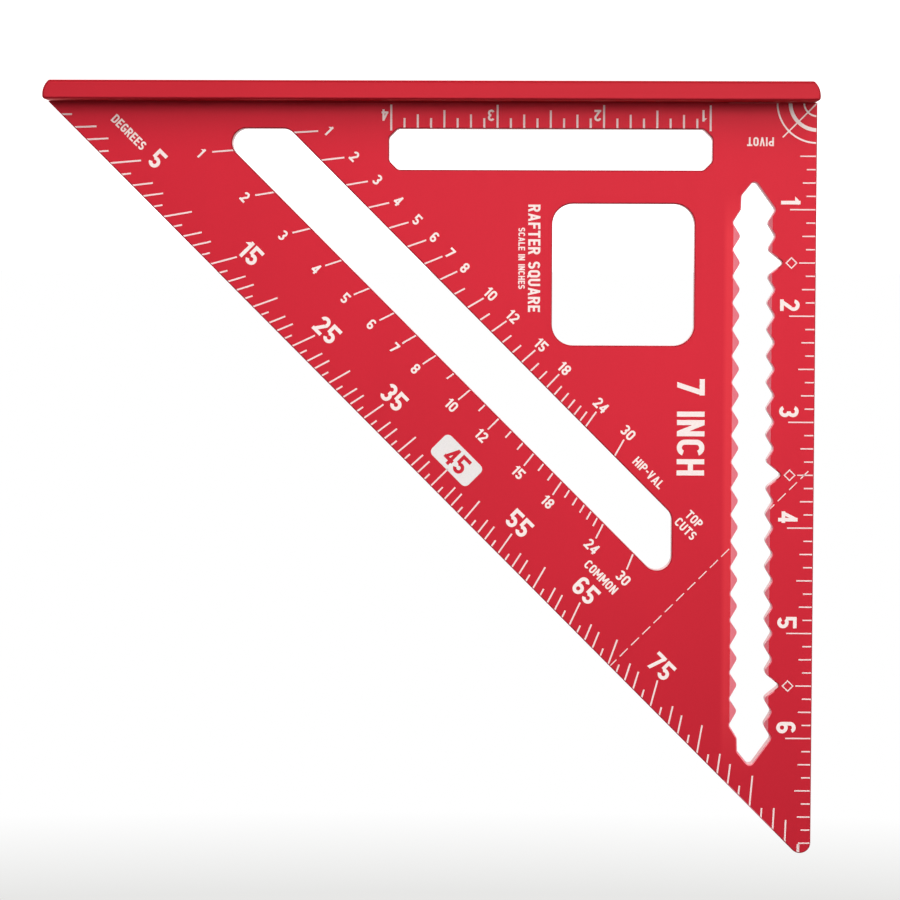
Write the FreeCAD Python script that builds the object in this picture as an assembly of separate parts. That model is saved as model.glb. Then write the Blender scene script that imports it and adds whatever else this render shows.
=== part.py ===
"""Seven-inch speed square (rafter square): a triangular aluminium blade that stands on a T-shaped fence.

Millimetres, +Z up. The square stands on the outer face of its fence. The origin is the centre of that face,
+X runs along the fence away from the pivot corner, and the marked face looks towards -Y.

Everything on the blade is laid out in a flat drawing whose corner is the pivot: x runs along the fence's
inner face, y runs up the square edge. The drawing is then stood up on the blade's front face.
"""
import FreeCAD, Part
import math
import os

Vector = FreeCAD.Vector

# ---- overall sizes ----
inch = 25.4
leg = 184.0                      # length of the fence
long_edge = 183.85               # x + y along the blade's long edge, so both its short sides too
blade_thickness = 4.8
fence_width = 22.2               # across the blade, front to back
fence_thickness = 4.6
edge_break = 0.25                # small chamfer on the blade's edges
tip_radius = 2.55                # blade's top tip
end_inset = 1.6                  # the fence's outer face is this much shorter at each end
end_rise = 3.4                   # height of the fence's widest point, where the sweep of its end stops
end_softening = 0.8              # rounding where that sweep meets the outer face
fence_inner_corner = 0.8         # fence ends, rounded on the inner face
fence_edge_radius = 0.6          # long edges of the fence
root_fillet = 0.15               # between blade and fence
foot_depth = 0.4                 # the blade's foot sits this deep in the fence's groove

# ---- cut-outs in the blade, in the drawing ----
slot_low = 6.35                  # height of the ruler slot and the diagonal slot above the fence
ruler_slot_x = (24.9, 102.1)
ruler_slot_height = 9.8
ruler_slot_corner = 2.1          # 45 degree corners
ruler_slot_soft = 1.4            # rounding of those corners
window_x = (29.0, 63.0)
window_y = (24.1, 58.0)
window_radius = 5.0
diagonal_outer = 150.95          # x + y along the diagonal slot's side nearest the long edge
diagonal_inner = 132.45          # x + y along its other side
diagonal_end_x = 34.0            # upright end of the diagonal slot
diagonal_radius = 3.5

# ---- scribing slot: a tooth every quarter inch, and a deep notch every two inches ----
scribe_pitch = inch / 4
scribe_first = 1.0 * inch
scribe_last = 6.0 * inch
scribe_near_mid = 10.65          # middle line of the teeth on the side near the square edge
scribe_far_mid = 18.9            # middle line of the teeth on the other side
scribe_near_amplitude = 0.95     # both before the teeth are rounded
scribe_far_amplitude = 1.05
scribe_tooth_radius = 1.1
scribe_notch_x = 7.65            # bottom of the deep notches
scribe_notch_radius = 0.7
scribe_apex_x = 14.8
scribe_apex_reach = 7.1          # how far the pointed ends run past the first and last teeth
scribe_apex_radius = 1.0
scribe_shoulder_reach = 3.3      # how far the straight shoulder runs past them
scribe_shoulder_radius = 1.0
scribe_shoulder_flare = 0.1
tooth_bevel = 2.2                # both the width and the depth of the steep bevel on the teeth
bevel_start_near = 10.45         # where the bevels start, near and far
bevel_start_far = 19.75
bevel_lift = 0.5                 # the cutting wedge stands this far above the face
notch_inches = (1.5, 3.5, 5.5)

# ---- marks ----
mark_height = 0.05
thin_line = 0.39
fine_line = 0.31
ruler_line = 0.48
dash_line = 0.25
stroke = 0.185                   # a character's line width; this and the next five are in character heights
bowl = (1.0 - stroke) / 4        # middle radius of a round stroke
wide = 2 * bowl + stroke         # width of a round character
letter_gap = 0.12
word_gap = 0.35
thin_stroke = 0.9 * stroke       # slanting strokes

degree_depths = {0: 5.8, 1: 1.9, 2: 4.0}      # tick length by kind: fives, units next to them, the rest
degree_numeral_depth = 8.8
degree_numeral_height = 4.6
badge_size = (12.4, 6.5)
badge_radius = 1.3

rise_numbered = (1, 2, 3, 4, 5, 6, 7, 8, 10, 12, 15, 18, 24, 30)
rise_plain = (9, 11, 13, 14, 16, 17, 19, 20, 21, 22, 23)
rise_numeral_height = 2.6
common_run = 12.0
common_depths = (3.9, 2.3)
common_numeral_depth = 5.95
valley_run = 12.0 * math.sqrt(2.0)
valley_depths = (4.5, 2.9)
valley_numeral_depth = 6.39

edge_tick_lengths = (6.3, 4.0, 3.3, 2.4)      # inch, half, quarter, eighth
edge_numeral_height = 4.65
edge_numeral_x = 6.15             # middle of the numerals
edge_numeral_gap = 1.25          # between a numeral and its inch tick
corner_mark = 3.0                # arms of the angle at the last inch
edge_first_eighth = 4
edge_last_eighth = 56
fence_tick_lengths = (5.7, 4.4, 3.4, 2.5)
fence_numeral_height = 2.7
fence_numeral_low = 1.8
fence_numeral_shift = 1.5        # numerals stand beside their ticks
fence_first_eighth = 8
fence_last_eighth = 32
fence_end_overrun = 0.45

pivot_rings = ((inch / 8, 0.4), (inch / 4 + 0.1, 0.88), (3 * inch / 8, 0.4))   # radius, line width
pivot_line_reach = 11.6
diamond_x = 5.85
diamond_half = 1.25
dash_length = 2.65
dash_pitch = 3.8
dash_foot = 48.66                # x where the dashed line meets the long edge
dash_start = -0.35               # the first dash starts outside the blade and is trimmed
dash_count = 18

along_long_edge = 135.0          # reading direction of everything set along the long edge
up_square_edge = 90.0
level_text = 0.0

# words of each label: text, height, x and y of its middle, reading direction
labels = {
    "degree_label": [("DEGREES", 2.2, 164.4, 7.4, along_long_edge)],
    "common_label": [("COMMON", 2.2, 50.85, 113.65, along_long_edge)],
    "hip_valley_label": [("HIP-VAL", 2.2, 39.6, 88.5, along_long_edge)],
    "top_cuts_label": [("TOP", 2.2, 28.6, 99.6, along_long_edge),
                       ("CUTS", 2.2, 30.6, 101.9, along_long_edge)],
    "pivot_label": [("PIVOT", 2.1, 13.5, 9.25, level_text)],
    "tool_label": [("RAFTER SQUARE", 2.9, 67.3, 37.2, up_square_edge),
                   ("SCALE IN INCHES", 1.6, 70.3, 37.2, up_square_edge)],
    "size_label": [("7 INCH", 6.6, 29.6, 77.5, up_square_edge)],
}

shapes = {}


# ---- drawing helpers ----
def point(x, y):
    return Vector(x, y, 0)


def polar(radius, degrees):
    angle = math.radians(degrees)
    return point(radius * math.cos(angle), radius * math.sin(angle))


def rounded_outline(corners):
    """Closed wire through corners (x, y, radius); a radius of 0 leaves the corner sharp."""
    starts, ends, arcs = [], [], []
    count = len(corners)
    for i, (x, y, radius) in enumerate(corners):
        here = point(x, y)
        back = (point(*corners[i - 1][:2]) - here).normalize()
        ahead = (point(*corners[(i + 1) % count][:2]) - here).normalize()
        if radius == 0:
            starts.append(here)
            ends.append(here)
            arcs.append(None)
            continue
        half = back.getAngle(ahead) / 2
        reach = radius / math.tan(half)
        middle_way = (back + ahead).normalize()
        starts.append(here + back * reach)
        ends.append(here + ahead * reach)
        arcs.append(here + middle_way * (radius / math.sin(half) - radius))
    edges = []
    for i in range(count):
        if arcs[i] is not None:
            edges.append(Part.Arc(starts[i], arcs[i], ends[i]).toShape())
        following = starts[(i + 1) % count]
        if ends[i].distanceToPoint(following) > 1e-6:
            edges.append(Part.LineSegment(ends[i], following).toShape())
    return Part.Wire(edges)


def rectangle(x_range, y_range, radius=0.0):
    (x0, x1), (y0, y1) = x_range, y_range
    return rounded_outline([(x0, y0, radius), (x1, y0, radius), (x1, y1, radius), (x0, y1, radius)])


def bar(start, end, width):
    """Straight stroke with square ends."""
    side = (end - start).normalize().cross(Vector(0, 0, 1)) * (width / 2)
    corners = [start + side, end + side, end - side, start - side, start + side]
    return Part.Face(Part.makePolygon(corners))


def slant(start, end, width):
    """Sloping stroke whose ends are cut level."""
    run = end - start
    half = width * run.Length / abs(run.y) / 2
    shift = point(half, 0)
    corners = [start - shift, start + shift, end + shift, end - shift, start - shift]
    return Part.Face(Part.makePolygon(corners))


def bow(centre, radius, first, last, width):
    """Curved stroke between two angles in degrees, anticlockwise, less than a full turn."""
    upward = Vector(0, 0, 1)
    outer = Part.makeCircle(radius + width / 2, centre, upward, first, last)
    inner = Part.makeCircle(radius - width / 2, centre, upward, first, last)
    ends = []
    for angle in (first, last):
        inner_corner = centre + polar(radius - width / 2, angle)
        outer_corner = centre + polar(radius + width / 2, angle)
        ends.append(Part.LineSegment(inner_corner, outer_corner).toShape())
    return Part.Face(Part.Wire(Part.__sortEdges__([outer, ends[1], inner, ends[0]])))


def join(faces):
    if len(faces) == 1:
        return faces[0]
    return faces[0].fuse(faces[1:]).removeSplitter()


# ---- characters: one unit high, condensed, made of bars and bows of one width ----
left_line = stroke / 2           # middle lines of the outermost strokes
right_line = wide - stroke / 2
low_line = stroke / 2
high_line = 1 - stroke / 2
half_way = 0.5
low_bowl = point(wide / 2, low_line + bowl)
high_bowl = point(wide / 2, high_line - bowl)


def level(y, x0=0.0, x1=wide):
    return bar(point(x0, y), point(x1, y), stroke)


def upright(x, y0=0.0, y1=1.0):
    return bar(point(x, y0), point(x, y1), stroke)


def arc(centre, first, last):
    return bow(centre, bowl, first, last, stroke)


def ring(centre):
    return [arc(centre, 0, 180), arc(centre, 180, 360)]


def straight_sides(*middles):
    """The upright strokes that join an upper bow to a lower one."""
    return [upright(x, low_bowl.y, high_bowl.y) for x in middles]


def oval():
    return [arc(high_bowl, 0, 180), arc(low_bowl, 180, 360)] + straight_sides(left_line, right_line)


def stem_bowl(centre):
    """A stem at the left, with one bowl closed back to it."""
    return [upright(left_line), arc(centre, -90, 90), level(centre.y + bowl, left_line, centre.x),
            level(centre.y - bowl, left_line, centre.x)]


def numerals():
    """Each numeral's strokes and its width."""
    narrow = 0.34
    stem = narrow - left_line
    four_stem = wide * 0.72
    hook = high_bowl + polar(bowl, -30)
    return {
        "0": (oval(), wide),
        "1": ([upright(stem), slant(point(0.06, 0.72), point(stem, high_line), stroke)], narrow),
        "2": ([arc(high_bowl, -35, 170), level(low_line),
               slant(point(left_line + 0.03, low_line), hook, stroke)], wide),
        "3": ([arc(high_bowl, -90, 155), arc(low_bowl, -155, 90)], wide),
        "4": ([upright(four_stem), level(0.27),
               slant(point(left_line, 0.27), point(four_stem, 0.95), thin_stroke)], wide),
        "5": ([level(high_line), upright(left_line, 0.46, 1.0), arc(low_bowl, -155, 140)], wide),
        "6": (ring(low_bowl) + [arc(high_bowl, 25, 180)] + straight_sides(left_line), wide),
        "7": ([level(high_line), slant(point(wide * 0.34, 0), point(right_line, high_line), stroke)], wide),
        "8": (ring(low_bowl) + ring(high_bowl), wide),
    }


def round_letters():
    """Letters with bows: their strokes and width."""
    open_ring = [arc(high_bowl, 20, 180), arc(low_bowl, 180, 340)] + straight_sides(left_line)
    corner_top = point(right_line - bowl, high_line - bowl)
    corner_low = point(right_line - bowl, low_line + bowl)
    return {
        "C": (open_ring, wide),
        "D": ([upright(left_line), level(high_line, left_line, corner_top.x),
               level(low_line, left_line, corner_low.x), upright(right_line, corner_low.y, corner_top.y),
               arc(corner_top, 0, 90), arc(corner_low, 270, 360)], wide),
        "G": (open_ring + [upright(right_line, 0.1, half_way),
                           level(half_way - stroke / 4, wide / 2, wide)], wide),
        "O": (oval(), wide),
        "P": (stem_bowl(high_bowl), wide),
        "Q": (oval() + [slant(point(right_line + 0.05, -0.06), point(wide / 2 + 0.03, 0.25), thin_stroke)],
              wide),
        "R": (stem_bowl(high_bowl) + [slant(point(right_line, 0), point(wide * 0.55, half_way), stroke)],
              wide),
        "S": ([arc(high_bowl, 25, 270), arc(low_bowl, -155, 90)], wide),
        "U": ([arc(low_bowl, 180, 360), upright(left_line, low_bowl.y), upright(right_line, low_bowl.y)],
              wide),
    }


def straight_letters():
    """Letters with straight strokes only: their strokes and width."""
    broad = wide * 1.3
    tall_a = wide + 0.06
    apex = point(tall_a / 2, 1)
    arm = wide * 0.9
    short_arm = wide * 0.82
    return {
        "A": ([slant(point(left_line, 0), apex, thin_stroke), level(0.28, 0.12, tall_a - 0.12),
               slant(point(tall_a - left_line, 0), apex, thin_stroke)], tall_a),
        "E": ([upright(left_line), level(high_line, 0, arm), level(low_line, 0, arm),
               level(half_way, 0, short_arm)], arm),
        "F": ([upright(left_line), level(high_line, 0, arm), level(half_way, 0, short_arm)], arm),
        "H": ([upright(left_line), upright(right_line), level(half_way)], wide),
        "I": ([upright(left_line)], stroke),
        "L": ([upright(left_line), level(low_line, 0, arm)], arm),
        "M": ([upright(left_line), upright(broad - left_line),
               slant(point(broad / 2, 0.3), point(left_line, 1), thin_stroke),
               slant(point(broad / 2, 0.3), point(broad - left_line, 1), thin_stroke)], broad),
        "N": ([upright(left_line), upright(right_line),
               slant(point(right_line, 0), point(left_line, 1), thin_stroke)], wide),
        "T": ([level(high_line), upright(wide / 2)], wide),
        "V": ([slant(point(wide / 2, 0), point(left_line, 1), thin_stroke),
               slant(point(wide / 2, 0), point(right_line, 1), thin_stroke)], wide),
        "-": ([level(half_way, 0, 0.3)], 0.3),
    }


alphabet = {**numerals(), **round_letters(), **straight_letters()}
ready = {}


def character(name, height):
    """A character's face at the wanted height, and its width."""
    strokes, width = alphabet[name]
    if name not in ready:
        ready[name] = join(strokes)
    return ready[name].scaled(height), width * height


def text_width(words, height):
    widths = [word_gap if letter == " " else alphabet[letter][1] for letter in words]
    return (sum(widths) + letter_gap * (len(words) - 1)) * height


def text(words, height, centre, turn=0.0):
    """Faces of a line of text, centred on a point and turned about it."""
    faces = []
    x = -text_width(words, height) / 2
    for letter in words:
        if letter == " ":
            x += (word_gap + letter_gap) * height
            continue
        face, width = character(letter, height)
        face.translate(point(x, -height / 2))
        face.rotate(Vector(0, 0, 0), Vector(0, 0, 1), turn)
        face.translate(centre)
        faces.append(face)
        x += width + letter_gap * height
    return faces


# ---- from the drawing to the square ----
def stand_up(shape, front):
    """Turn the drawing upright with its face towards -Y, at the given Y, with its corner at the pivot."""
    stood = shape.copy()
    stood.rotate(Vector(0, 0, 0), Vector(1, 0, 0), 90)
    stood.translate(Vector(-leg / 2, front, fence_thickness))
    return stood


# ---- blade ----
def ruler_slot():
    x0, x1 = ruler_slot_x
    y0, y1 = slot_low, slot_low + ruler_slot_height
    cut = ruler_slot_corner
    corners = [(x0 + cut, y0), (x1 - cut, y0), (x1, y0 + cut), (x1, y1 - cut),
               (x1 - cut, y1), (x0 + cut, y1), (x0, y1 - cut), (x0, y0 + cut)]
    return rounded_outline([(x, y, ruler_slot_soft) for x, y in corners])


def diagonal_slot():
    return rounded_outline([(diagonal_inner - slot_low, slot_low, diagonal_radius),
                            (diagonal_outer - slot_low, slot_low, diagonal_radius),
                            (diagonal_end_x, diagonal_outer - diagonal_end_x, diagonal_radius),
                            (diagonal_end_x, diagonal_inner - diagonal_end_x, diagonal_radius)])


def scribing_slot():
    """Teeth on both sides shift together, so the slot keeps its width; one side also has deep notches."""
    near, far = [], []
    steps = round((scribe_last - scribe_first) / scribe_pitch)
    for i in range(2 * steps + 1):
        y = scribe_first + i * scribe_pitch / 2
        side = -1 if i % 2 == 0 else 1
        if any(abs(y - n * inch) < 0.01 for n in notch_inches):
            near.append((scribe_notch_x, y, scribe_notch_radius))
        else:
            near.append((scribe_near_mid + side * scribe_near_amplitude, y, scribe_tooth_radius))
        if 0 < i < 2 * steps:
            far.append((scribe_far_mid + side * scribe_far_amplitude, y, scribe_tooth_radius))
    shoulder_x = scribe_far_mid - scribe_far_amplitude
    bottom = scribe_first - scribe_apex_reach
    top = scribe_last + scribe_apex_reach
    soft = scribe_shoulder_radius
    flare_x = shoulder_x + scribe_shoulder_flare
    start = [(scribe_apex_x, bottom, scribe_apex_radius),
             (shoulder_x, scribe_first - scribe_shoulder_reach, soft), (flare_x, scribe_first, soft)]
    end = [(flare_x, scribe_last, soft), (shoulder_x, scribe_last + scribe_shoulder_reach, soft),
           (scribe_apex_x, top, scribe_apex_radius)]
    return rounded_outline(start + far + end + near[::-1])


def bevel_wedge(start_x, towards, first_y, last_y):
    """Wedge that cuts the steep bevel on one row of teeth; it ends in valleys, so it leaves no step."""
    inner_x = start_x + towards * tooth_bevel
    corners = [(start_x - towards * bevel_lift, bevel_lift), (inner_x, bevel_lift), (inner_x, -tooth_bevel)]
    outline = [Vector(x, first_y, z) for x, z in corners + corners[:1]]
    return Part.Face(Part.makePolygon(outline)).extrude(Vector(0, last_y - first_y, 0))


def scribe_bevels():
    """The teeth are bevelled, so that a pencil point or a knife lies close to the work."""
    first_valley = scribe_first + scribe_pitch / 2
    last_valley = scribe_last - scribe_pitch / 2
    return [bevel_wedge(bevel_start_far, -1, first_valley, last_valley),
            bevel_wedge(bevel_start_near, 1, scribe_first, scribe_last)]


def blade_outline():
    return rounded_outline([(0, 0, 0), (long_edge, 0, 0), (0, long_edge, tip_radius)])


def break_edges(solid):
    """Small chamfer round both faces of the blade, except along the fence."""
    picked = []
    for edge in solid.Edges:
        heights = [vertex.Z for vertex in edge.Vertexes]
        flat = max(heights) - min(heights) < 1e-6
        along_fence = all(abs(vertex.Y) < 1e-6 for vertex in edge.Vertexes)
        if flat and not along_fence:
            picked.append(edge)
    return solid.makeChamfer(edge_break, picked)


def make_foot():
    """Wider foot of the blade: a concave fillet down each face, and a tongue that sits in the fence."""
    half = blade_thickness / 2
    r = root_fillet
    bend = r * (1 - math.sqrt(0.5))
    under = -foot_depth
    edges = []
    for side in (-1, 1):
        top = Vector(0, side * half, r)
        middle = Vector(0, side * (half + bend), bend)
        bottom = Vector(0, side * (half + r), 0)
        edges.append(Part.Arc(top, middle, bottom).toShape())
        edges.append(Part.LineSegment(bottom, Vector(0, side * (half + r), under)).toShape())
    edges.append(Part.LineSegment(Vector(0, -half, r), Vector(0, half, r)).toShape())
    edges.append(Part.LineSegment(Vector(0, -half - r, under), Vector(0, half + r, under)).toShape())
    profile = Part.Face(Part.Wire(Part.__sortEdges__(edges)))
    profile.translate(Vector(-leg / 2 + fence_inner_corner, 0, fence_thickness))
    return profile.extrude(Vector(leg - 2 * fence_inner_corner, 0, 0))


def make_blade():
    window = rectangle(window_x, window_y, window_radius)
    face = Part.Face(blade_outline())
    for hole in (ruler_slot(), diagonal_slot(), window, scribing_slot()):
        face = face.cut(Part.Face(hole))
    slab = face.extrude(Vector(0, 0, -blade_thickness))
    slab = break_edges(slab.Solids[0])
    for bevel in scribe_bevels():
        slab = slab.cut(bevel)
    return stand_up(slab, -blade_thickness / 2).fuse(make_foot()).removeSplitter().Solids[0]


# ---- fence ----
def fence_end(side):
    """Edges of one end of the fence: a wide sweep up from the outer face, then a small inner corner."""
    x = side * leg / 2
    radius = (end_inset ** 2 + end_rise ** 2) / (2 * end_inset)
    half_sweep = math.asin(end_rise / radius) / 2
    middle = point(x - side * radius * (1 - math.cos(half_sweep)), end_rise - radius * math.sin(half_sweep))
    r = fence_inner_corner
    bend = r * (1 - math.sqrt(0.5))
    widest, inner = point(x, end_rise), point(x, fence_thickness - r)
    return [Part.Arc(point(x - side * end_inset, 0), middle, widest).toShape(),
            Part.LineSegment(widest, inner).toShape(),
            Part.Arc(inner, point(x - side * bend, fence_thickness - bend),
                     point(x - side * r, fence_thickness)).toShape()]


def make_fence():
    """Flat bar under the blade, with rounded ends and a groove that the blade's foot fills."""
    outer, inner = leg / 2 - end_inset, leg / 2 - fence_inner_corner
    edges = fence_end(1) + fence_end(-1)
    edges.append(Part.LineSegment(point(-outer, 0), point(outer, 0)).toShape())
    edges.append(Part.LineSegment(point(-inner, fence_thickness), point(inner, fence_thickness)).toShape())
    side = Part.Face(Part.Wire(Part.__sortEdges__(edges)))
    side.rotate(Vector(0, 0, 0), Vector(1, 0, 0), 90)
    side.translate(Vector(0, fence_width / 2, 0))
    body = side.extrude(Vector(0, -fence_width, 0))
    across = []
    for edge in body.Edges:
        ends = edge.Vertexes
        if all(abs(end.Z) < 1e-6 and abs(abs(end.X) - outer) < 1e-6 for end in ends):
            across.append(edge)
    body = body.makeFillet(end_softening, across)
    rims = []
    for edge in body.Edges:
        on_side = all(abs(abs(vertex.Y) - fence_width / 2) < 1e-6 for vertex in edge.Vertexes)
        if on_side and abs(edge.Vertexes[0].Y - edge.Vertexes[-1].Y) < 1e-6:
            rims.append(edge)
    return body.makeFillet(fence_edge_radius, rims).cut(make_foot()).Solids[0]


# ---- marks ----
def radial_tick(degrees, sum_from, depth, width=thin_line):
    """Tick on a ray from the pivot, from the line x + y = sum_from towards or away from the pivot."""
    scale = math.cos(math.radians(degrees)) + math.sin(math.radians(degrees))
    start = polar(sum_from / scale, degrees)
    end = polar((sum_from + depth * math.sqrt(2.0)) / scale, degrees)
    return bar(start, end, width)


def radial_point(degrees, total):
    """Where the ray from the pivot meets the line x + y = total."""
    return polar(total / (math.cos(math.radians(degrees)) + math.sin(math.radians(degrees))), degrees)


def degree_ticks():
    ticks = []
    for degree in range(1, 90):
        beside = min(degree % 5, 5 - degree % 5)
        ticks.append(radial_tick(degree, long_edge, -degree_depths[beside]))
    return ticks


def degree_numerals():
    total = long_edge - degree_numeral_depth * math.sqrt(2.0)
    faces = []
    for degree in (5, 15, 25, 35, 55, 65, 75):
        faces += text(str(degree), degree_numeral_height, radial_point(degree, total), along_long_edge)
    return faces


def degree_badge():
    """Filled plate with the 45 left open, so that the blade shows through the numerals."""
    centre = radial_point(45, long_edge - degree_numeral_depth * math.sqrt(2.0))
    wide_half, high_half = badge_size[0] / 2, badge_size[1] / 2
    plate = Part.Face(rectangle((-wide_half, wide_half), (-high_half, high_half), badge_radius))
    plate.rotate(Vector(0, 0, 0), Vector(0, 0, 1), along_long_edge)
    plate.translate(centre)
    return [plate.cut(text("45", degree_numeral_height, centre, along_long_edge))]


def rise_angle(rise, run):
    return math.degrees(math.atan(rise / run))


def rise_ticks(run, slot_side, direction, depths):
    ticks = []
    for group, depth in zip((rise_numbered, rise_plain), depths):
        for rise in group:
            ticks.append(radial_tick(rise_angle(rise, run), slot_side, direction * depth))
    return ticks


def rise_numerals(run, slot_side, direction, depth):
    total = slot_side + direction * depth * math.sqrt(2.0)
    faces = []
    for rise in rise_numbered:
        middle = radial_point(rise_angle(rise, run), total)
        faces += text(str(rise), rise_numeral_height, middle, along_long_edge)
    return faces


def tick_rank(eighths):
    """0 for a whole inch, 1 for a half, 2 for a quarter and 3 for an eighth."""
    if eighths % 8 == 0:
        return 0
    if eighths % 4 == 0:
        return 1
    return 2 if eighths % 2 == 0 else 3


def edge_scale_ticks():
    ticks = []
    for eighths in range(edge_first_eighth, edge_last_eighth):
        y = eighths * inch / 8
        ticks.append(bar(point(0, y), point(edge_tick_lengths[tick_rank(eighths)], y), fine_line))
    y = edge_last_eighth * inch / 8
    x = corner_mark - fine_line / 2
    arm = bar(point(0, y), point(corner_mark, y), fine_line)
    ticks.append(join([arm, bar(point(x, y), point(x, long_edge), fine_line)]))
    return ticks


def edge_scale_numerals():
    faces = []
    for whole in range(1, 7):
        half = text_width(str(whole), edge_numeral_height) / 2
        middle = point(edge_numeral_x, whole * inch - edge_numeral_gap - half)
        faces += text(str(whole), edge_numeral_height, middle, up_square_edge)
    return faces


def fence_scale_ticks():
    ticks = []
    for eighths in range(fence_first_eighth, fence_last_eighth + 1):
        x = eighths * inch / 8
        at_end = eighths in (fence_first_eighth, fence_last_eighth)
        high_end = slot_low + (fence_end_overrun if at_end else 0.0)
        length = fence_tick_lengths[tick_rank(eighths)]
        ticks.append(bar(point(x, slot_low - length), point(x, high_end), ruler_line))
    return ticks


def fence_scale_numerals():
    faces = []
    middle = fence_numeral_low + fence_numeral_height / 2
    for whole in range(1, 5):
        faces += text(str(whole), fence_numeral_height, point(whole * inch + fence_numeral_shift, middle))
    return faces


def pivot_marks():
    faces = [bow(point(0, 0), radius, 0, 90, width) for radius, width in pivot_rings]
    faces.append(bar(point(0, 0), polar(pivot_line_reach, 45), fine_line))
    return [join(faces)]


def diamond_marks():
    faces = []
    outer, inner = diamond_half + thin_line / 2, diamond_half - thin_line / 2
    for place in notch_inches:
        y = place * inch
        rings = []
        for half in (outer, inner):
            corners = [(diamond_x - half, y, 0), (diamond_x, y - half, 0),
                       (diamond_x + half, y, 0), (diamond_x, y + half, 0)]
            rings.append(Part.Face(rounded_outline(corners)))
        faces.append(rings[0].cut(rings[1]))
    return faces


def dashed_line():
    foot = point(dash_foot, long_edge - dash_foot)
    way = point(-1, -1).normalize()
    dashes = []
    for i in range(dash_count):
        start = dash_start + i * dash_pitch
        dashes.append(bar(foot + way * start, foot + way * (start + dash_length), dash_line))
    return dashes


def label_faces(lines):
    faces = []
    for words, height, x, y, turn in lines:
        faces += text(words, height, point(x, y), turn)
    return faces


def lay_marks(name, faces, flat):
    """Trim a group of marks to the flat of the front face, and raise them as one thin layer."""
    drawing = Part.makeCompound(faces)
    stood = stand_up(drawing, -blade_thickness / 2)
    trimmed = stood.common(flat)
    layer = trimmed.extrude(Vector(0, -mark_height, 0))
    shapes[name] = Part.makeCompound(layer.Solids)


def front_flat(blade):
    """The largest face in the plane of the blade's front."""
    in_plane = [face for face in blade.Faces if abs(face.CenterOfMass.y + blade_thickness / 2) < 1e-4]
    return max(in_plane, key=lambda face: face.Area)


def build():
    blade = make_blade()
    shapes["blade"] = blade
    shapes["fence"] = make_fence()
    flat = front_flat(blade)
    groups = {
        "degree_ticks": degree_ticks(),
        "degree_numerals": degree_numerals(),
        "degree_badge": degree_badge(),
        "common_ticks": rise_ticks(common_run, diagonal_outer, 1, common_depths),
        "common_numerals": rise_numerals(common_run, diagonal_outer, 1, common_numeral_depth),
        "hip_valley_ticks": rise_ticks(valley_run, diagonal_inner, -1, valley_depths),
        "hip_valley_numerals": rise_numerals(valley_run, diagonal_inner, -1, valley_numeral_depth),
        "edge_scale_ticks": edge_scale_ticks(),
        "edge_scale_numerals": edge_scale_numerals(),
        "fence_scale_ticks": fence_scale_ticks(),
        "fence_scale_numerals": fence_scale_numerals(),
        "pivot_rings": pivot_marks(),
        "diamond_marks": diamond_marks(),
        "dashed_line": dashed_line(),
    }
    for name, lines in labels.items():
        groups[name] = label_faces(lines)
    for name, faces in groups.items():
        lay_marks(name, faces, flat)


build()
os.makedirs("parts", exist_ok=True)
for name, shape in shapes.items():
    shape.exportStep(f"parts/{name}.step")
    print(name, "solids", len(shape.Solids), "valid", shape.isValid(), "volume", round(shape.Volume, 2))
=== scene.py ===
"""Looks of the speed square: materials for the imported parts, stage, lights and camera. Metres."""

import math

import bpy
from mathutils import Matrix, Vector

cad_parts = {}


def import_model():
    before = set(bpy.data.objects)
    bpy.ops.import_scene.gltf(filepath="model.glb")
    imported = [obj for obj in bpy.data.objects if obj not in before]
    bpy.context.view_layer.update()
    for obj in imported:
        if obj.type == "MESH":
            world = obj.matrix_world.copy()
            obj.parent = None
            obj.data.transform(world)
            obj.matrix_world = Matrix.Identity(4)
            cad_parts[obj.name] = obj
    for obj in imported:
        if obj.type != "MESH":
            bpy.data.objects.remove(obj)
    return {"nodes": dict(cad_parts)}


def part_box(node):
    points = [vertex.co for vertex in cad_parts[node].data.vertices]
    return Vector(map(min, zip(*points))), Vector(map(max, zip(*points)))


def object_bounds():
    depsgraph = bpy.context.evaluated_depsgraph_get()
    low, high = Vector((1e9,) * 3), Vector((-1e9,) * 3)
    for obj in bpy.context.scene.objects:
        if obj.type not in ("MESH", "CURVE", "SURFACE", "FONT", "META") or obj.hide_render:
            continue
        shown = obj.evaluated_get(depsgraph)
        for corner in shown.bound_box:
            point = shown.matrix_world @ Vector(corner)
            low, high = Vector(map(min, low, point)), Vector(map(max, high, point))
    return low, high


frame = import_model()
cad_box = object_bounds()

# ---- camera: in front of the marked face, upside down, so the fence is at the top of the picture ----
VIEW_LENS_MM = 126.0
SENSOR_MM = 36.0
VIEW_DISTANCE = 0.7563
VIEW_AZIMUTH = -1.101            # degrees round from straight in front
VIEW_ELEVATION = -3.067          # degrees above the level of the target
VIEW_ROLL = -0.202               # degrees on top of half a turn
VIEW_TARGET_X = -0.00472         # along the fence, from its middle
VIEW_TARGET_Z = 0.08780
VIEW_NEAREST = 0.01              # what the camera draws, from here to there
VIEW_FARTHEST = 100.0

# ---- stage and lights ----
FLOOR_SIZE = 30.0
BACK_LIGHT = 0.75                # the light that floor and surroundings give behind the marked face
FRONT_LIGHT = 0.13               # the light that the surroundings give in front of it
FLOOR_LIGHT = 0.11               # the light that the floor gives there, besides what it reflects
STUDIO_WHITE = (1.0, 1.0, 1.0)
STUDIO_GREY = (0.80, 0.80, 0.79)
GREY_FROM = 0.167                # the backdrop fades to grey from this rise of a view ray to the next
GREY_AT = 0.192
BEHIND = 0.1                     # how far a direction or a place leans back where the back light is full
FLOOR_TINTS = (0.93, 0.93, 0.93), (0.96, 0.96, 0.96)
FLOOR_CLOUDS = (3.0, 2.0)
FLOOR_ROUGHNESS = 0.9
FLOOR_GLOSS = 0.1
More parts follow.
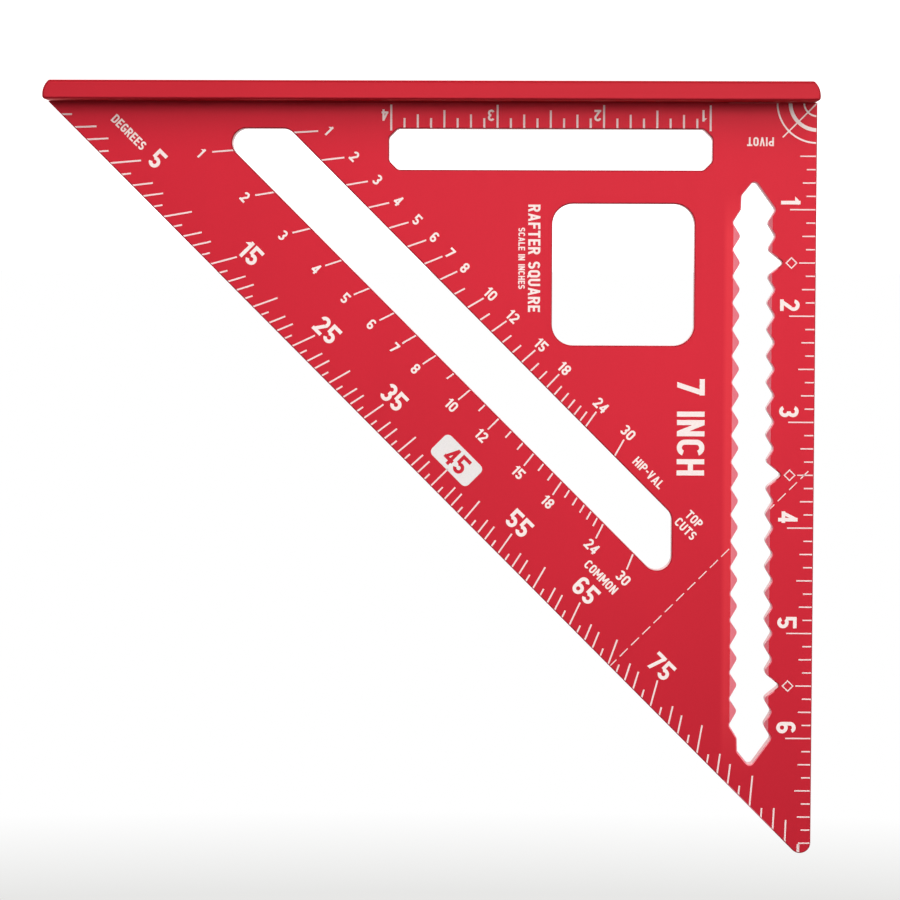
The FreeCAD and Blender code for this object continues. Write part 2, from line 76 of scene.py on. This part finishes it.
# soft lights: degrees down from level, degrees round from straight in front, distance, size, power
LIGHTS = {
    "key": (15.6, -12.0, 1.1, 0.36, 5.0),
    "top": (43.0, -12.0, 0.9, 0.58, 7.0),
    "near_side": (15.0, -80.0, 1.2, 0.5, 2.2),
    "far_side": (15.0, 80.0, 1.2, 0.5, 2.2),
    "fill": (-25.0, -15.0, 1.8, 1.0, 1.2),
    "back_key": (-35.0, 165.0, 1.8, 1.2, 2.5),
    "back_fill": (-10.0, -130.0, 1.8, 1.2, 1.0),
}

# ---- the blade's scribing slot, in the blade's metres, and its cut walls ----
SLOT_MIDDLE = -0.0770
SLOT_REACH = 0.0060
STRIP_X = (-0.0709, -0.0698)     # where the painted highlight strip beside the far teeth fades out
STRIP_LOW = (0.026, 0.036)       # where it fades in
STRIP_HIGH = (0.150, 0.166)      # and where it ends
WALL_FADE = (0.10, 0.20)         # walls, bevels and faces are told apart by how squarely they look along Y
WALLS_END = (0.35, 0.55)
FACES_START = (0.90, 0.97)
BEVEL_SHARE = (0.8, 1.0)         # how far the bevels' painted highlight takes over, least and most
BEVEL_MIX = (0.3, 0.5)           # the part of the grain over which it goes from one to the other

# ---- colours: two of each, which the material mixes in patches ----
BLADE_REDS = (0.60, 0.005, 0.024), (0.54, 0.004, 0.020)
# painted shade: the fence's reds are darker than the blade's, though both are one finish
FENCE_SHADED_REDS = (0.53, 0.010, 0.025), (0.48, 0.008, 0.021)
BLADE_SHEEN = (1.0, 0.9, 0.9)    # what the reds turn to where they are seen almost edge on
FENCE_SHEEN = (0.85, 0.12, 0.16)
STRIP_HIGHLIGHT_RED = (0.65, 0.018, 0.034)    # painted highlight: the lighter strip beside the scribing slot
BEVEL_HIGHLIGHT_PINK = (0.85, 0.22, 0.27)      # painted highlight: pinker, lighter colour on the bevelled teeth where they catch the light
CHARACTER_WHITES = (0.94, 0.83, 0.80), (0.88, 0.74, 0.71)
LINE_WHITES = (0.90, 0.72, 0.71), (0.84, 0.63, 0.62)    # thin lines are etched less deeply
BADGE_WHITES = (0.82, 0.79, 0.775), (0.76, 0.73, 0.715)

# ---- coating ----
METAL = 0.8                      # how metallic the coated faces look, and the bevelled teeth
TOOTH_METAL = 0.2
SEAL = 0.42                      # weight of the clear sealing layer, on the faces and in the cut walls
WALL_SEAL = 1.0
SEAL_ROUGHNESS = 0.4
WALL_SEAL_ROUGHNESS = 0.2
RED_ROUGHNESS = (0.40, 0.52)
RED_GLOSS = 0.32
PATCHES = (18.0, 2.0)            # noise: how fine, per metre, then its detail and its roughness
GRAIN = (5200.0, 2.0, 0.6)
STREAKS = (900.0, 3.0, 0.55)
GRAIN_SHARE = 0.5                # how much of the colour's mix is grain, and how much is patches
PATCH_SHARE = 0.5
RED_MIX = (0.3, 0.7)             # the part of the noise over which one red turns to the other
UP_THE_BLADE = (1.0, 1.0, 0.02)  # how the streaks are drawn out
ALONG_THE_FENCE = (0.02, 1.0, 1.0)
GRAIN_RELIEF = (0.22, 0.00003)   # strength and height
STREAK_RELIEF = (0.10, 0.00004)

# ---- etching ----
SPECKLES = (3600.0, 3.0, 0.65)
HATCHES = (900.0, 1.0)
WHITE_MIX = (0.35, 0.65)
HATCHING = (1.0, 1.0, 14.0)
HATCH_RELIEF = (0.25, 0.00002)
ETCH_ROUGHNESS = (0.62, 0.82)
ETCH_GLOSS = 0.3


# ---- small node helpers ----
def new_material(name):
    """A node material with its output and one Principled shader."""
    material = bpy.data.materials.new(name)
    material.use_nodes = True
    tree = material.node_tree
    tree.nodes.clear()
    output = tree.nodes.new("ShaderNodeOutputMaterial")
    shader = tree.nodes.new("ShaderNodeBsdfPrincipled")
    tree.links.new(shader.outputs["BSDF"], output.inputs["Surface"])
    return material, tree, shader


def place(tree):
    """The piece's own coordinates, in metres."""
    return tree.nodes.new("ShaderNodeTexCoord").outputs["Object"]


def stretched(tree, vector, scale):
    mapping = tree.nodes.new("ShaderNodeMapping")
    mapping.inputs["Scale"].default_value = scale
    tree.links.new(vector, mapping.inputs["Vector"])
    return mapping.outputs["Vector"]


def noise(tree, vector, scale, detail=3.0, roughness=0.5):
    node = tree.nodes.new("ShaderNodeTexNoise")
    node.inputs["Scale"].default_value = scale
    node.inputs["Detail"].default_value = detail
    node.inputs["Roughness"].default_value = roughness
    tree.links.new(vector, node.inputs["Vector"])
    return node.outputs["Fac"]


def to_range(tree, value, low, high, from_low=0.0, from_high=1.0):
    node = tree.nodes.new("ShaderNodeMapRange")
    node.inputs["From Min"].default_value = from_low
    node.inputs["From Max"].default_value = from_high
    node.inputs["To Min"].default_value = low
    node.inputs["To Max"].default_value = high
    tree.links.new(value, node.inputs["Value"])
    return node.outputs["Result"]


def blend_colours(tree, factor, first, second):
    node = tree.nodes.new("ShaderNodeMix")
    node.data_type = "RGBA"
    for name, colour in (("A", first), ("B", second)):
        socket = [s for s in node.inputs if s.name == name and s.type == "RGBA"][0]
        if isinstance(colour, tuple):
            socket.default_value = (*colour, 1.0)
        else:
            tree.links.new(colour, socket)
    tree.links.new(factor, node.inputs["Factor"])
    return [s for s in node.outputs if s.type == "RGBA"][0]


def arithmetic(tree, operation, first, second=None):
    node = tree.nodes.new("ShaderNodeMath")
    node.operation = operation
    for index, value in enumerate((first, second)):
        if value is None:
            continue
        if isinstance(value, (int, float)):
            node.inputs[index].default_value = value
        else:
            tree.links.new(value, node.inputs[index])
    return node.outputs["Value"]


def split(tree, vector):
    """A vector's X, Y and Z."""
    node = tree.nodes.new("ShaderNodeSeparateXYZ")
    tree.links.new(vector, node.inputs["Vector"])
    return node.outputs


def facing(tree):
    """How squarely a face looks along Y: 1 on the blade's two faces, 0 on its edges and walls."""
    normal = split(tree, tree.nodes.new("ShaderNodeNewGeometry").outputs["True Normal"])
    return arithmetic(tree, "ABSOLUTE", normal["Y"])


def bump(tree, height, relief, normal=None):
    node = tree.nodes.new("ShaderNodeBump")
    strength, distance = relief
    node.inputs["Strength"].default_value = strength
    node.inputs["Distance"].default_value = distance
    tree.links.new(height, node.inputs["Height"])
    if normal is not None:
        tree.links.new(normal, node.inputs["Normal"])
    return node.outputs["Normal"]


def studio_white(tree, direction, in_front):
    """Full white to the camera; as a light, bright behind the object and dimmer in front of it."""
    light = to_range(tree, split(tree, direction)["Y"], in_front, BACK_LIGHT, 0.0, BEHIND)
    path = tree.nodes.new("ShaderNodeLightPath")
    return arithmetic(tree, "MAXIMUM", light, path.outputs["Is Camera Ray"])


def tooth_bevels(tree, here, speckle):
    """1 on the scribing slot's sloping tooth faces, with the colour a little broken up; there the teeth
    turn less metallic and take a painted highlight.
    """
    square = facing(tree)
    leaning = arithmetic(tree, "MULTIPLY", to_range(tree, square, 0.0, 1.0, *WALLS_END),
                         to_range(tree, square, 1.0, 0.0, *FACES_START))
    from_middle = arithmetic(tree, "SUBTRACT", split(tree, here)["X"], SLOT_MIDDLE)
    at_slot = arithmetic(tree, "LESS_THAN", arithmetic(tree, "ABSOLUTE", from_middle), SLOT_REACH)
    broken = to_range(tree, speckle, *BEVEL_SHARE, *BEVEL_MIX)
    return arithmetic(tree, "MULTIPLY", arithmetic(tree, "MULTIPLY", leaning, at_slot), broken)


def cut_walls(tree):
    """1 on the walls of the cut-outs and on the blade's edges, 0 on its two faces."""
    return to_range(tree, facing(tree), 1.0, 0.0, *WALL_FADE)


def highlight_strip(tree, here):
    """Painted highlight: a soft lighter strip beside the scribing slot, strongest at the teeth."""
    at = split(tree, here)
    across = to_range(tree, at["X"], 1.0, 0.0, *STRIP_X)
    beside = arithmetic(tree, "GREATER_THAN", at["X"], SLOT_MIDDLE)
    low_end = to_range(tree, at["Z"], 0.0, 1.0, *STRIP_LOW)
    high_end = to_range(tree, at["Z"], 1.0, 0.0, *STRIP_HIGH)
    along = arithmetic(tree, "MULTIPLY", low_end, high_end)
    return arithmetic(tree, "MULTIPLY", arithmetic(tree, "MULTIPLY", across, beside), along)


# ---- materials ----
def red_colour(tree, here, grain, reds):
    """Two reds, mixed in broad patches with fine grain in them."""
    patches = noise(tree, here, *PATCHES)
    mixed = arithmetic(tree, "ADD", arithmetic(tree, "MULTIPLY", patches, PATCH_SHARE),
                       arithmetic(tree, "MULTIPLY", grain, GRAIN_SHARE))
    return blend_colours(tree, to_range(tree, mixed, 0.0, 1.0, *RED_MIX), reds[1], reds[0])


def blade_details(tree, shader, here, grain, colour):
    """Glossier cut walls and less metallic teeth; gives the colour with a painted highlight strip beside
    the slot and painted highlight on the teeth.
    """
    walls = cut_walls(tree)
    wall_roughness = to_range(tree, walls, SEAL_ROUGHNESS, WALL_SEAL_ROUGHNESS)
    tree.links.new(to_range(tree, walls, SEAL, WALL_SEAL), shader.inputs["Coat Weight"])
    tree.links.new(wall_roughness, shader.inputs["Coat Roughness"])
    bevelled = tooth_bevels(tree, here, grain)
    tree.links.new(to_range(tree, bevelled, METAL, TOOTH_METAL), shader.inputs["Metallic"])
    # painted highlight: a lighter strip beside the scribing slot
    highlighted = blend_colours(tree, highlight_strip(tree, here), colour, STRIP_HIGHLIGHT_RED)
    # painted highlight: the bevelled teeth turn pink and light
    return blend_colours(tree, bevelled, highlighted, BEVEL_HIGHLIGHT_PINK)


def anodised_red(name, drawn, reds, sheen, is_blade):
    """Satin red coating over blasted aluminium: fine grain, broad patches and faint drawn lines."""
    material, tree, shader = new_material(name)
    shader.inputs["Metallic"].default_value = METAL
    shader.inputs["Specular IOR Level"].default_value = RED_GLOSS
    shader.inputs["Specular Tint"].default_value = (*sheen, 1.0)
    shader.inputs["Coat Weight"].default_value = SEAL
    shader.inputs["Coat Roughness"].default_value = SEAL_ROUGHNESS
    here = place(tree)
    grain = noise(tree, here, *GRAIN)
    streaks = noise(tree, stretched(tree, here, drawn), *STREAKS)
    colour = red_colour(tree, here, grain, reds)
    if is_blade:
        colour = blade_details(tree, shader, here, grain, colour)
    tree.links.new(colour, shader.inputs["Base Color"])
    tree.links.new(to_range(tree, streaks, *RED_ROUGHNESS), shader.inputs["Roughness"])
    fine = bump(tree, grain, GRAIN_RELIEF)
    tree.links.new(bump(tree, streaks, STREAK_RELIEF, fine), shader.inputs["Normal"])
    return material


def etched(name, whites):
    """Laser-etched metal: matt, finely hatched, a little uneven."""
    material, tree, shader = new_material(name)
    here = place(tree)
    speckle = noise(tree, here, *SPECKLES)
    hatch = noise(tree, stretched(tree, here, HATCHING), *HATCHES)
    colour = blend_colours(tree, to_range(tree, speckle, 0.0, 1.0, *WHITE_MIX), whites[1], whites[0])
    tree.links.new(colour, shader.inputs["Base Color"])
    tree.links.new(to_range(tree, speckle, *ETCH_ROUGHNESS), shader.inputs["Roughness"])
    shader.inputs["Specular IOR Level"].default_value = ETCH_GLOSS
    tree.links.new(bump(tree, hatch, HATCH_RELIEF), shader.inputs["Normal"])
    return material


def pale_floor():
    material, tree, shader = new_material("pale_floor")
    tint = noise(tree, place(tree), *FLOOR_CLOUDS)
    colour = blend_colours(tree, tint, *FLOOR_TINTS)
    tree.links.new(colour, shader.inputs["Base Color"])
    shader.inputs["Roughness"].default_value = FLOOR_ROUGHNESS
    shader.inputs["Specular IOR Level"].default_value = FLOOR_GLOSS
    shader.inputs["Emission Color"].default_value = (*STUDIO_WHITE, 1.0)
    tree.links.new(studio_white(tree, place(tree), FLOOR_LIGHT), shader.inputs["Emission Strength"])
    return material


# ---- the object ----
def dress():
    """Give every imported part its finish."""
    blade_red = anodised_red("anodised_red", UP_THE_BLADE, BLADE_REDS, BLADE_SHEEN, True)
    # the fence takes the darker reds: painted shade
    fence_shaded_red = anodised_red("anodised_red_fence_shaded", ALONG_THE_FENCE, FENCE_SHADED_REDS, FENCE_SHEEN, False)
    mark = etched("etched_mark", CHARACTER_WHITES)
    line = etched("etched_line", LINE_WHITES)
    badge = etched("etched_badge", BADGE_WHITES)
    special = {"blade": blade_red, "fence": fence_shaded_red, "degree_badge": badge, "diamond_marks": line,
               "dashed_line": line}
    for name, node in frame["nodes"].items():
        usual = line if name.endswith("_ticks") else mark
        node.data.materials.clear()
        node.data.materials.append(special.get(name, usual))


# ---- stage ----
def floor():
    half = FLOOR_SIZE / 2
    mesh = bpy.data.meshes.new("floor")
    mesh.from_pydata([(-half, -half, 0), (half, -half, 0), (half, half, 0), (-half, half, 0)], [],
                     [(0, 1, 2, 3)])
    mesh.materials.append(pale_floor())
    made = bpy.data.objects.new("floor", mesh)
    bpy.context.scene.collection.objects.link(made)
    made.visible_shadow = False


def world():
    """White backdrop that fades to a light grey high up."""
    made = bpy.data.worlds.new("world")
    made.use_nodes = True
    tree = made.node_tree
    tree.nodes.clear()
    background = tree.nodes.new("ShaderNodeBackground")
    direction = tree.nodes.new("ShaderNodeTexCoord").outputs["Generated"]
    faded = to_range(tree, split(tree, direction)["Z"], 0.0, 1.0, GREY_FROM, GREY_AT)
    tree.links.new(blend_colours(tree, faded, STUDIO_WHITE, STUDIO_GREY), background.inputs["Color"])
    tree.links.new(studio_white(tree, direction, FRONT_LIGHT), background.inputs["Strength"])
    output = tree.nodes.new("ShaderNodeOutputWorld")
    tree.links.new(background.outputs["Background"], output.inputs["Surface"])
    bpy.context.scene.world = made


def outwards(azimuth, elevation):
    """Unit vector away from the object, by degrees round from straight in front and above level."""
    a, e = math.radians(azimuth), math.radians(elevation)
    return Vector((math.sin(a) * math.cos(e), -math.cos(a) * math.cos(e), math.sin(e)))


def soft_light(name, drop, side, distance, size, power, centre):
    """Square soft light aimed at a point."""
    data = bpy.data.lights.new(name, "AREA")
    data.shape = "SQUARE"
    data.size = size
    data.energy = power
    made = bpy.data.objects.new(name, data)
    away = outwards(side, -drop)
    made.location = centre + away * distance
    made.rotation_euler = away.to_track_quat("Z", "Y").to_euler()
    made.visible_camera = False
    bpy.context.scene.collection.objects.link(made)


def lights(centre):
    for name, setting in LIGHTS.items():
        soft_light(name, *setting, centre)


def camera():
    """Looks at the marked face from nearly straight in front, rolled half a turn."""
    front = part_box("blade")[0].y
    target = Vector((VIEW_TARGET_X, front, VIEW_TARGET_Z))
    back = outwards(VIEW_AZIMUTH, VIEW_ELEVATION)
    right = (-back).cross(Vector((0, 0, -1))).normalized()
    up = back.cross(right)
    turn = Matrix.Rotation(-math.radians(VIEW_ROLL), 3, back)
    right, up = turn @ right, turn @ up
    data = bpy.data.cameras.new("camera")
    data.lens = VIEW_LENS_MM
    data.sensor_width = SENSOR_MM
    data.clip_start = VIEW_NEAREST
    data.clip_end = VIEW_FARTHEST
    made = bpy.data.objects.new("camera", data)
    columns = Matrix((right, up, back)).transposed()
    made.matrix_world = Matrix.Translation(target + back * VIEW_DISTANCE) @ columns.to_4x4()
    bpy.context.scene.collection.objects.link(made)
    bpy.context.scene.camera = made


dress()
floor()
world()
low, high = cad_box
lights((low + high) / 2)
camera()
bpy.context.scene.view_settings.view_transform = "Standard"
